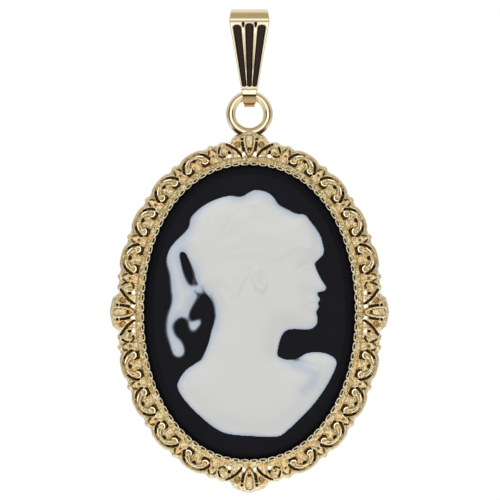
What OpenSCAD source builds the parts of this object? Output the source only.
// Oval cameo pendant on a folded bail. The origin is the chain's seat, at the inner top of the bail.
// X points to the right, Z up, and the front of the pendant faces -Y. All lengths are in millimetres.

/* [Stone] */
// Width of the dark oval tablet
stone_w = 18; // [14:0.5:24]
// Height of the dark oval tablet
stone_h = 25; // [20:0.5:34]
// Fullness of the oval, where 2 is a true ellipse
oval_power = 2.13; // [2:0.01:2.4]
// Height of the tablet's upright edge
girdle_t = 1.6; // [1.2:0.1:2.4]
// Height of the bevel above the upright edge
bevel_t = 0.45; // [0.3:0.05:0.7]
// Width of the bevel, seen from the front
bevel_w = 0.88; // [0.6:0.02:1.2]
// Height of the white relief at the middle of the cheek
relief_t = 0.85; // [0.5:0.05:1.2]
// Height of the white relief at its thin edges
relief_edge_t = 0.3; // [0.15:0.05:0.45]

/* [Setting] */
// How far the rim reaches over the stone's edge
rim_overlap = 0.13; // [0.08:0.01:0.25]
// Loose fit round the stone's edge
seat_gap = 0.06; // [0.04:0.01:0.12]
// Thickness of the closed back
back_t = 0.5; // [0.4:0.05:0.9]
// Free height between the stone's upright edge and the rim over it
lip_gap = 0.1; // [0.05:0.01:0.2]
// Thickness of the rim where it grips the stone
lip_t = 0.42; // [0.3:0.02:0.7]
// Width of the milled rim
rim_w = 0.3; // [0.26:0.02:0.5]
// Number of milled slots in the rim
rim_slots = 88; // [60:4:110]
// Width of a milled slot across the rim
slot_w = 0.12; // [0.08:0.01:0.18]
// Share of its pitch that a milled slot is long
slot_share = 0.58; // [0.4:0.02:0.7]
// Depth of a milled slot
slot_t = 0.16; // [0.08:0.01:0.22]
// Width of the plain band between rim and scrolls
band_w = 0.36; // [0.3:0.02:0.7]
// Drop from the rim's top to the plain band
band_drop = 0.12; // [0.08:0.02:0.3]

/* [Border] */
// Reach of a scroll's arch beyond the opening
scroll_reach = 2.4; // [2.3:0.02:3]
// Reach of the small beads between the scrolls
bead_reach = 2.34; // [2.2:0.02:2.9]
// Reach of the crests at top, bottom and sides
crest_reach = 2.92; // [2.6:0.02:3.4]
// Reach of the notches between scroll and bead
notch_reach = 2.18; // [1.9:0.02:2.26]
// How much further the scrolls near the sides reach than those near the top, as a share
side_gain = 0.2; // [0:0.02:0.3]
// Height of the ground that the ornament stands on
ground_t = 1.35; // [1.1:0.05:1.5]
// Height of the ornament above its ground
carve_t = 0.95; // [0.6:0.05:1.1]
// Height of the border's outer edge above its own back
edge_t = 1; // [0.7:0.05:1.2]
// Step from the flat back up to the border's back
back_step = 0.25; // [0.1:0.05:0.35]
// Share of a quarter of the border taken by the cell beside the top or bottom crest
first_cell = 0.165; // [0.15:0.005:0.18]
// Share of a quarter of the border taken by the cell beside a side crest
last_cell = 0.15; // [0.14:0.005:0.17]

/* [Ring] */
// Mean radius of the ring
ring_r = 1.58; // [1.5:0.02:2.2]
// Radius of the ring's round wire
ring_wire_r = 0.4; // [0.28:0.01:0.42]
// Depth that the ring is let into the top crest
ring_sink = 0.52; // [0.3:0.02:0.6]
// Distance from the ring's plane back to the flat back
ring_to_back = 1.12; // [0.9:0.02:1.5]

/* [Bail] */
// Thickness of the bail's strap
strap_t = 0.4; // [0.3:0.02:0.5]
// Width of the strap over the chain
strap_top_w = 3.1; // [2.6:0.1:4]
// Width of the strap at its shoulders
shoulder_w = 3.4; // [3:0.1:4.4]
// Width of the strap at the panel's lower end
neck_w = 1.4; // [1.2:0.02:1.6]
// Width of the strap where it passes through the ring
strap_foot_w = 1.1; // [0.9:0.02:1.12]
// Width of the narrow lap under the ring
lap_w = 0.9; // [0.6:0.02:0.96]
// Depth of the bail's opening for the chain, front to back
chain_room = 2.2; // [1.8:0.1:3]
// Radius inside the bail's two upper corners
corner_r = 0.7; // [0.4:0.05:0.85]
// Distance from the chain's seat down to the ring's wire
bail_drop = 6.85; // [6:0.05:9]
// Running clearance round the ring's wire
ring_gap = 0.2; // [0.17:0.01:0.3]
// Thickness of the raised fluted panel on the front
panel_t = 0.12; // [0.08:0.01:0.2]
// Distance from the chain's seat down to the panel's shoulder
panel_top = 0.6; // [0.5:0.05:0.9]
// Number of flutes in the panel
flutes = 3; // [1:1:3]
// Width of a flute at its upper end
flute_w = 0.66; // [0.4:0.02:0.74]
// Width of a flute at its lower end
flute_foot_w = 0.3; // [0.2:0.02:0.34]
// Depth of a flute at its upper end
flute_t = 0.16; // [0.1:0.01:0.2]
// Distance from the panel's shoulder down to the flutes
flute_drop = 0.45; // [0.4:0.05:0.7]
// Height of the panel's lower end above the ring's wire
panel_above_ring = 0.55; // [0.45:0.05:0.8]

/* [Hidden] */

// Cells of ornament in a quarter of the border, and columns of the relief in one cell
cells = 6;
cell_columns = 12;
// Sides of a plain oval
oval_sides = 120;
// Steps of the table of lengths along a quarter of the oval
length_steps = 60;
// How far pieces of one solid are let into each other
weld = 0.12;
// Sides of a full round, and of the large balls whose tops are the relief's hills
round_sides = 64;
hill_sides = 320;
// Half of the angle round which solder thickens the ring's foot, and by how much
foot_half_angle = 52;
weld_angle = 2;
solder_t = 0.02;

half_w = stone_w / 2 - rim_overlap;
half_h = stone_h / 2 - rim_overlap;
stone_t = girdle_t + bevel_t;
lip_low = back_t + girdle_t + lip_gap;
rim_top = lip_low + lip_t;
band_top = rim_top - band_drop;
band_edge = rim_w + band_w;
pocket_edge = rim_overlap + seat_gap;
ring_z = -bail_drop - ring_r;
oval_z = ring_z - ring_r - ring_wire_r + ring_sink - crest_reach - half_h;

// The oval of the opening, seen from the front, and what lies outside it along its own normals.
// An angle is counted from +X towards +Z, and a turn from the top, clockwise.
function signed_power(v, p) = sign(v) * pow(abs(v), p);
function oval_radius(angle) =
    pow(pow(abs(cos(angle)) / half_w, oval_power) + pow(abs(sin(angle)) / half_h, oval_power),
        -1 / oval_power);
function oval_point(angle) = oval_radius(angle) * [cos(angle), sin(angle)];
function oval_normal(angle) =
    let (p = oval_point(angle),
         slope = [signed_power(p.x / half_w, oval_power - 1) / half_w,
                  signed_power(p.y / half_h, oval_power - 1) / half_h])
    slope / norm(slope);
function beside_oval(angle, reach) = oval_point(angle) + reach * oval_normal(angle);
function oval_outline(reach, sides) =
    [for (i = [0 : sides - 1]) beside_oval(360 * i / sides, reach)];

// Length along a quarter of the border's middle line, from the top, against the turn
middle_reach = (band_edge + scroll_reach) / 2;
turn_step = 90 / length_steps;
function middle_point(turn) = beside_oval(90 - turn, middle_reach);
lengths = [for (i = 0, s = 0; i <= length_steps;
                s = s + norm(middle_point((i + 1) * turn_step) - middle_point(i * turn_step)), i = i + 1)
           [s, i * turn_step]];
quarter_length = lengths[length_steps][0];

// Quarters run from the top or bottom crest to a side crest, or back from it
function turn_in_quarter(share) = lookup(share * quarter_length, lengths);
function angle_of(quarter, share) =
    90 - (quarter % 2 == 0 ? 90 * quarter + turn_in_quarter(share)
                           : 90 * (quarter + 1) - turn_in_quarter(share));

// Ends of the ornament's cells, as shares of a quarter: crest, small scroll, then scrolls, and crest again
next_cell = (1 - first_cell - last_cell) / (cells - 2);
function cell_start(cell) = cell == 0 ? 0 : first_cell + (cell - 1) * next_cell;
function cell_share(cell) = cell == 0 ? first_cell : cell == cells - 1 ? last_cell : next_cell;

// Ornament in a cell's own plane: u runs along the border from the cell's middle or from the middle
// of the crest or bead, v outwards from the opening
scroll_half_w = 1.46;
scroll_v = band_edge + 0.29;
scroll_h = scroll_reach - scroll_v;
scroll_power = 3;
scroll_rim = 0.2;
curl_u = 0.86;
curl_r = 0.2;
curl_half = 0.18;
leaf_inside = 0.68;
leaf_half = 0.2;
stem_half = 0.16;
bead_r = 0.3;
bead_v = bead_reach - bead_r;
bead_stem_half = 0.2;
small_half_w = 0.75;
small_v = band_edge + 0.25;
small_h = notch_reach + 0.12 - small_v;
small_rim = 0.2;
small_bead_r = 0.22;
crest_half_w = 1.5;
crest_drop = 0.38;
crest_power = 1.2;
petal_half_w = 0.5;
petal_foot_half = 0.12;
side_petal_half = 0.3;
side_petal = [[0.66, band_edge + 0.4], [1.08, crest_reach - 0.5]];
crest_bead_r = 0.18;
// Heights of the lesser strokes as shares of the carving's full height
curl_share = 0.85;
bead_share = 0.9;
petal_share = 0.7;
stem_share = 0.6;

// Rounded height of a stroke of the given half width, at a distance from its middle line
function raised(away, half) = away < half ? sqrt(1 - pow(away / half, 2)) : 0;
function to_ring(p, centre, r) = abs(norm(p - centre) - r);
function to_line(p, a, b) =
    let (d = b - a, t = max(0, min(1, (p - a) * d / (d * d)))) norm(p - a - t * d);
// Height of an arch of the given half width and height above its foot. A power of 2 makes it an ellipse
// and a greater one squares its shoulders.
function arch(u, half, height, power = 2) =
    abs(u) < half ? height * pow(1 - pow(abs(u) / half, power), 1 / power) : -height;

// A full scroll: thick arched rim, two inward curls at its feet, a leaf under the arch and a stem
function scroll_carving(u, v) =
    let (p = [abs(u), v],
         inside = scroll_h * (1 - pow(pow(p.x / scroll_half_w, scroll_power)
                                      + pow(abs(v - scroll_v) / scroll_h, scroll_power), 1 / scroll_power)))
    max(v > scroll_v - weld ? raised(abs(inside - scroll_rim), scroll_rim) : 0,
        curl_share * raised(to_ring(p, [curl_u, scroll_v + curl_half], curl_r), curl_half),
        stem_share * raised(to_line(p, [0, band_edge], [0, scroll_v + 2 * curl_r]), stem_half),
        v > scroll_v + curl_r + weld ? curl_share * raised(abs(inside - leaf_inside), leaf_half) : 0);
// A bead at the outer edge on a stem
function bead_carving(u, v) =
    max(bead_share * raised(norm([u, v - bead_v]), bead_r),
        stem_share * raised(to_line([u, v], [0, band_edge], [0, bead_v]), bead_stem_half));
// Half of a crest: a drop-shaped petal, a small bead at the band, and a side petal
function crest_carving(u, v) =
    max(raised(abs(u), petal_foot_half + (petal_half_w - petal_foot_half) * (v - band_edge)
                                         / (crest_reach - band_edge)),
        petal_share * raised(norm([u - petal_half_w, v - band_edge - weld]), crest_bead_r),
        petal_share * raised(to_line([u, v], side_petal[0], side_petal[1]), side_petal_half));
// The small scroll between a crest and the first bead: an arch whose rim runs down to the crest's foot
function small_carving(u, v) =
    let (inside = small_h - norm([u * small_h / small_half_w, v - small_v]),
         start = [-crest_half_w + weld, band_edge + weld],
         shoulder = [-small_half_w / 2, small_v + 2 * small_h / 3])
    max(v > small_v && u > shoulder.x ? bead_share * raised(abs(inside - small_rim), small_rim) : 0,
        bead_share * raised(to_line([u, v], start, shoulder), small_rim),
        petal_share * raised(norm([u - weld, v - small_v - weld]), small_bead_r));

// The carving's share of its full height, and the outline's reach. An end cell has its crest at along = 0
// and a bead at along = 1, and any other cell has a bead at each end.
function small_u(along, length) = along * length - (crest_half_w + length - bead_r) / 2;
function carving(end, along, length, v) =
    max(end ? max(crest_carving(along * length, v), small_carving(small_u(along, length), v))
            : max(scroll_carving((along - 0.5) * length, v), bead_carving(along * length, v)),
        bead_carving((1 - along) * length, v));
function outline_reach(end, along, length) =
    max(notch_reach, bead_v + arch((1 - along) * length, bead_r, bead_r),
        end ? max(along * length < crest_half_w
                      ? crest_reach - crest_drop * pow(along * length / crest_half_w, crest_power) : 0,
                  small_v + arch(small_u(along, length), small_half_w, small_h))
            : max(scroll_v + arch((along - 0.5) * length, scroll_half_w, scroll_h, scroll_power),
                  bead_v + arch(along * length, bead_r, bead_r)));

// Share by which the ornament's width across the border grows from the top to the sides, but not at a crest
function scroll_gain(share) = 1 + side_gain * (share - 0.5);
function gain(share) =
    share < first_cell ? 1 + (scroll_gain(first_cell) - 1) * share / first_cell
    : share > 1 - last_cell ? 1 + (scroll_gain(1 - last_cell) - 1) * (1 - share) / last_cell
    : scroll_gain(share);

// One column of the border: a closed loop of points across it, from the cup's wall round to the back
relief_rows = [0, 0.1, 0.22, 0.36, 0.5, 0.64, 0.78, 0.9, 0.97];
// Share of the carving's height that is lost towards the outer edge, and the bevel round the border's back
edge_fall = 0.3;
back_bevel_t = 0.3;
back_bevel_w = 0.35;
function column(quarter, cell, along) =
    let (end = cell == 0 || cell == cells - 1,
         length = cell_share(cell) * quarter_length,
         mirrored = cell == cells - 1 ? 1 - along : along,
         share = cell_start(cell) + along * cell_share(cell),
         angle = angle_of(quarter, share),
         wide = outline_reach(end, mirrored, length) - band_edge,
         reach = band_edge + gain(share) * wide,
         inner = band_edge - weld)
    concat(
        [for (row = [[inner, back_step], [inner, ground_t]]) at_height(angle, row[0], row[1])],
        [for (t = relief_rows)
            at_height(angle, band_edge + t * (reach - band_edge),
                      ground_t + carve_t * (1 - edge_fall * t * t)
                                 * carving(end, mirrored, length, band_edge + t * wide))],
        [at_height(angle, reach, back_step + edge_t), at_height(angle, reach, back_step + back_bevel_t),
         at_height(angle, reach - back_bevel_w, back_step)]);
function at_height(angle, reach, height) =
    let (p = beside_oval(angle, reach)) [p.x, p.y, height];

// All columns, clockwise from the top: a side quarter is run backwards
columns_round = [for (quarter = [0 : 3], i = [0 : cells - 1], j = [0 : cell_columns - 1])
    quarter % 2 == 0
        ? column(quarter, i, j / cell_columns)
        : j == 0 ? column(quarter, cells - 1 - i, 1) : column(quarter, cells - 1 - i, 1 - j / cell_columns)];

// A closed ring of columns, each a closed loop of points, as one solid
module ring_of_columns(columns) {
    across = len(columns[0]);
    around = len(columns);
    polyhedron(
        points = [for (c = columns) each c],
        faces = [for (i = [0 : around - 1], j = [0 : across - 1])
            let (n = (i + 1) % around, k = (j + 1) % across,
                 a = i * across + j, b = n * across + j, c = n * across + k, d = i * across + k)
            each [[a, c, b], [a, d, c]]],
        convexity = 10);
}

// Lays the setting, drawn flat with its front upwards, upright in its place behind the ring
module upright() {
    translate([0, ring_to_back, oval_z]) rotate([90, 0, 0]) children();
}

module oval_plate(reach, low, high, sides = oval_sides) {
    translate([0, 0, low]) linear_extrude(high - low) polygon(oval_outline(reach, sides));
}

module milled_slots() {
    pitch = 360 / rim_slots;
    for (i = [0 : rim_slots - 1]) {
        share = 4 * i / rim_slots;
        quarter = floor(share);
        part = share - quarter;
        angle = angle_of(quarter, quarter % 2 == 0 ? part : 1 - part);
        normal = oval_normal(angle);
        p = beside_oval(angle, rim_w / 2);
        length = slot_share * 4 * quarter_length / rim_slots;
        translate([p.x, p.y, rim_top - slot_t / 2 + weld / 2])
            rotate(atan2(normal.y, normal.x))
                cube([slot_w, length, slot_t + weld], center = true);
    }
}

// Cup that holds the stone: closed back, wall, plain band and milled rim
module cup() {
    difference() {
        union() {
            oval_plate(band_edge, 0, band_top);
            oval_plate(rim_w, back_t, rim_top);
        }
        oval_plate(pocket_edge, back_t, lip_low);
        oval_plate(0, back_t + weld, rim_top + weld);
        milled_slots();
    }
}

// Round wire of the ring, from one angle to another, with the solder's thickness added
module ring_wire(from, to, solder = 0) {
    rotate(from) rotate_extrude(angle = to - from, $fn = round_sides)
        translate([ring_r, 0]) circle(ring_wire_r + solder, $fn = round_sides);
}

// The ring stands on the top crest, and its foot is a little thicker with solder
module jump_ring() {
    translate([0, 0, ring_z]) rotate([90, 0, 0]) {
        ring_wire(foot_half_angle - 90 - weld_angle, 270 - foot_half_angle + weld_angle);
        ring_wire(-90 - foot_half_angle, foot_half_angle - 90, solder_t);
    }
}

module frame() {
    color("goldenrod") {
        upright() {
            ring_of_columns(columns_round);
            cup();
        }
        jump_ring();
    }
}

// Dark tablet: upright edge, bevel and flat top
module cameo_base() {
    low = back_t;
    edge = rim_overlap;
    rows = [[edge, low], [edge, low + girdle_t], [edge - bevel_w, low + stone_t]];
    color("black") upright() oval_stack(rows, oval_sides);
}

// A solid stacked from ovals, each row giving its reach and height
module oval_stack(rows, sides) {
    levels = len(rows);
    polyhedron(
        points = [for (row = rows, i = [0 : sides - 1]) at_height(360 * i / sides, row[0], row[1])],
        faces = concat(
            [[for (i = [0 : sides - 1]) i]],
            [[for (i = [sides - 1 : -1 : 0]) (levels - 1) * sides + i]],
            [for (k = [0 : levels - 2], i = [0 : sides - 1])
                let (n = (i + 1) % sides, low = k * sides, high = low + sides)
                [low + i, high + i, high + n, low + n]]));
}

// Outline of the white figure, as shares of the opening's half width and half height from its middle.
// Hair, front of the head, neck and shoulders follow each other clockwise.
hair_line = [
    [-0.58, 0.57], [-0.55, 0.65], [-0.44, 0.72], [-0.32, 0.765], [-0.19, 0.79], [-0.08, 0.785],
    [0, 0.815], [0.065, 0.83], [0.165, 0.815], [0.23, 0.78], [0.28, 0.73], [0.36, 0.70],
    [0.44, 0.67], [0.53, 0.66], [0.575, 0.62], [0.63, 0.57], [0.675, 0.515], [0.69, 0.47],
    [0.705, 0.43], [0.695, 0.39], [0.655, 0.36]];
front_line = [
    [0.62, 0.332], [0.636, 0.288], [0.672, 0.232], [0.71, 0.19], [0.727, 0.168], [0.712, 0.147],
    [0.655, 0.137], [0.645, 0.118], [0.668, 0.088], [0.648, 0.062], [0.658, 0.036], [0.632, 0.002],
    [0.643, -0.035], [0.638, -0.078], [0.60, -0.108], [0.53, -0.118], [0.43, -0.112], [0.345, -0.125],
    [0.295, -0.175]];
neck_line = [
    [0.265, -0.27], [0.28, -0.305], [0.36, -0.325], [0.46, -0.315], [0.55, -0.28], [0.67, -0.275],
    [0.77, -0.295], [0.825, -0.34], [0.79, -0.42], [0.705, -0.53], [0.59, -0.64], [0.47, -0.73],
    [0.355, -0.805], [0.26, -0.845], [0, -0.84], [-0.21, -0.825], [-0.34, -0.78], [-0.49, -0.69],
    [-0.62, -0.59], [-0.68, -0.51], [-0.66, -0.455], [-0.60, -0.395], [-0.53, -0.36], [-0.455, -0.315],
    [-0.39, -0.22], [-0.355, -0.12], [-0.33, -0.05], [-0.345, 0.05], [-0.39, 0.11], [-0.45, 0.12]];
tail_line = [
    [-0.51, 0.06], [-0.56, -0.01], [-0.545, -0.055], [-0.47, -0.04], [-0.455, -0.08], [-0.52, -0.14],
    [-0.575, -0.12], [-0.60, -0.06], [-0.655, -0.045], [-0.71, -0.09], [-0.69, -0.15], [-0.63, -0.20],
    [-0.605, -0.27], [-0.645, -0.31], [-0.72, -0.30], [-0.765, -0.22], [-0.80, -0.13], [-0.79, -0.03],
    [-0.745, 0.07], [-0.755, 0.16], [-0.765, 0.25], [-0.79, 0.34], [-0.76, 0.42], [-0.70, 0.48]];
// Gap between the hair and the tail
gap_line = [
    [-0.66, 0.40], [-0.61, 0.405], [-0.565, 0.34], [-0.535, 0.25], [-0.55, 0.19], [-0.60, 0.24],
    [-0.645, 0.33]];
// Steps of a curve between two points of an outline
curve_steps = 3;

function curve_at(a, b, c, d, t) =
    0.5 * (2 * b + (c - a) * t + (2 * a - 5 * b + 4 * c - d) * t * t + (3 * b - a - 3 * c + d) * t * t * t);
function smooth_outline(shares) =
    let (n = len(shares))
    [for (i = [0 : n - 1], k = [0 : curve_steps - 1])
        let (p = curve_at(shares[(i + n - 1) % n], shares[i], shares[(i + 1) % n], shares[(i + 2) % n],
                          k / curve_steps))
        [p.x * half_w, p.y * half_h]];

// Low round hills that the relief is cut from: centre and radius as shares of the opening's half width
hills = [
    // across, up, radius, height as a share of the relief
    [0.10, 0.42, 0.85, 1],
    [-0.02, -0.25, 0.55, 0.8],
    [0.05, -0.78, 0.98, 1],
    [-0.66, 0.3, 0.3, 0.45]];

// How far a hill's foot lies below the relief's thin edge
hill_sink = 0.05;

// A ball that stands up from a plane as a hill of the given radius and height
module hill(x, y, low, r, height) {
    ball_r = (r * r + height * height) / (2 * height);
    translate([x, y, low + height - ball_r]) sphere(ball_r, $fn = hill_sides);
}

module figure_outline() {
    difference() {
        polygon(smooth_outline(concat(hair_line, front_line, neck_line, tail_line)));
        polygon(smooth_outline(gap_line));
    }
}

// White relief: a thin layer of the figure's outline with low hills for head, neck, shoulders and tail
module cameo_figure() {
    low = back_t + stone_t;
    color("white") upright() {
        intersection() {
            translate([0, 0, low]) linear_extrude(relief_t) figure_outline();
            union() {
                oval_plate(0, low - weld, low + relief_edge_t);
                for (h = hills)
                    hill(h[0] * half_w, h[1] * half_h, low + relief_edge_t - hill_sink, h[2] * half_w,
                         h[3] * (relief_t - relief_edge_t) + hill_sink);
            }
        }
    }
}

// Side view of the bail: two corners at the top and a round bend at the ring, as [y, z, radius]
top_z = -corner_r;
corner_y = chain_room / 2 - corner_r;
foot_r = ring_wire_r + ring_gap;

// Touching points of the outer tangent of two rounds on the side away from the middle line
function tangent(a, b) =
    let (d = [b[0] - a[0], b[1] - a[1]], l = norm(d), turn = asin((a[2] - b[2]) / l),
         n = [d.y / l, -d.x / l], out = n * cos(turn) + (d / l) * sin(turn))
    [[a[0], a[1]] + a[2] * out, [b[0], b[1]] + b[2] * out];

// The straight side of the bail, grown by a thickness. It enters the foot's round at a slight angle.
foot_sink = 0.01;
function straight_side(grow) =
    tangent([0, -bail_drop, foot_r + grow - foot_sink], [corner_y, top_z, corner_r + grow]);

module bail_side(grow) {
    side = straight_side(grow);
    for (s = [-1, 1]) translate([s * corner_y, top_z]) circle(corner_r + grow, $fn = round_sides);
    translate([0, -bail_drop]) circle(foot_r + grow, $fn = round_sides);
    polygon([side[0], side[1], [corner_y, grow], [-corner_y, grow], [-side[1].x, side[1].y],
             [-side[0].x, side[0].y]]);
}

// Front face of the strap, upper and lower end, in the side view
face = straight_side(strap_t);
face_slope = (face[1].x - face[0].x) / (face[1].y - face[0].y);
function face_y(z) = -(face[0].x + face_slope * (z - face[0].y));

// The panel's ends are bevelled by its own thickness, and the flutes stop short of both
panel_foot = -bail_drop + panel_above_ring;
flute_top = -panel_top - flute_drop;
flute_foot = panel_foot + 2 * panel_t;
flute_margin = 0.22;

module fluted_panel() {
    foot = panel_foot - panel_t;
    polygon([[face_y(-panel_top) + strap_t / 2, -panel_top], [face_y(-panel_top) - panel_t / 2, -panel_top],
             [face_y(-panel_top) - panel_t, -panel_top - panel_t], [face_y(panel_foot) - panel_t, panel_foot],
             [face_y(foot), foot], [face_y(foot) + strap_t / 2, foot]]);
}

// Front view of the strap: widest at its shoulders, tapering to the ring
function strap_half(z) =
    let (t = (z + panel_top) / (panel_foot + panel_top)) (shoulder_w + (neck_w - shoulder_w) * t) / 2;
module strap_front() {
    lap_z = -bail_drop - foot_r - strap_t / 3;
    right = [[strap_top_w / 2, 2 * strap_t], [strap_top_w / 2, strap_t], [strap_half(-panel_top), -panel_top],
             [neck_w / 2, panel_foot], [strap_foot_w / 2, -bail_drop - foot_r / 2],
             [strap_foot_w / 2, lap_z], [lap_w / 2, lap_z],
             [lap_w / 2, lap_z - strap_t]];
    polygon(concat(right, [for (i = [len(right) - 1 : -1 : 0]) [-right[i].x, right[i].y]]));
}

// A groove cut by a tapering round tool with a ball end at the top
function tool_r(width, depth) = (width * width / 4 + depth * depth) / (2 * depth);
module flute(side) {
    top_r = tool_r(flute_w, flute_t);
    foot_depth = flute_t * flute_foot_w / flute_w;
    end_r = tool_r(flute_foot_w, foot_depth);
    pitch_top = (2 * strap_half(flute_top) - flute_margin) / flutes;
    pitch_foot = (2 * strap_half(flute_foot) - flute_margin) / flutes;
    a = [side * pitch_top, face_y(flute_top) - panel_t - top_r + flute_t, flute_top];
    b = [side * pitch_foot, face_y(flute_foot) - panel_t - end_r + foot_depth, flute_foot];
    d = b - a;
    translate(a) rotate([0, acos(d.z / norm(d)), atan2(d.y, d.x)])
        cylinder(h = norm(d), r1 = top_r, r2 = end_r, $fn = round_sides);
    translate(a) sphere(top_r, $fn = round_sides);
}

module bail() {
    width = shoulder_w + 2 * strap_t;
    color("gold") difference() {
        intersection() {
            translate([-width / 2, 0, 0]) rotate([90, 0, 90]) linear_extrude(width) {
                difference() {
                    bail_side(strap_t);
                    bail_side(0);
                }
                fluted_panel();
            }
            translate([0, chain_room, 0]) rotate([90, 0, 0]) linear_extrude(3 * chain_room) strap_front();
        }
        for (i = [0 : flutes - 1]) flute(i - (flutes - 1) / 2);
    }
}

frame();
cameo_base();
cameo_figure();
bail();
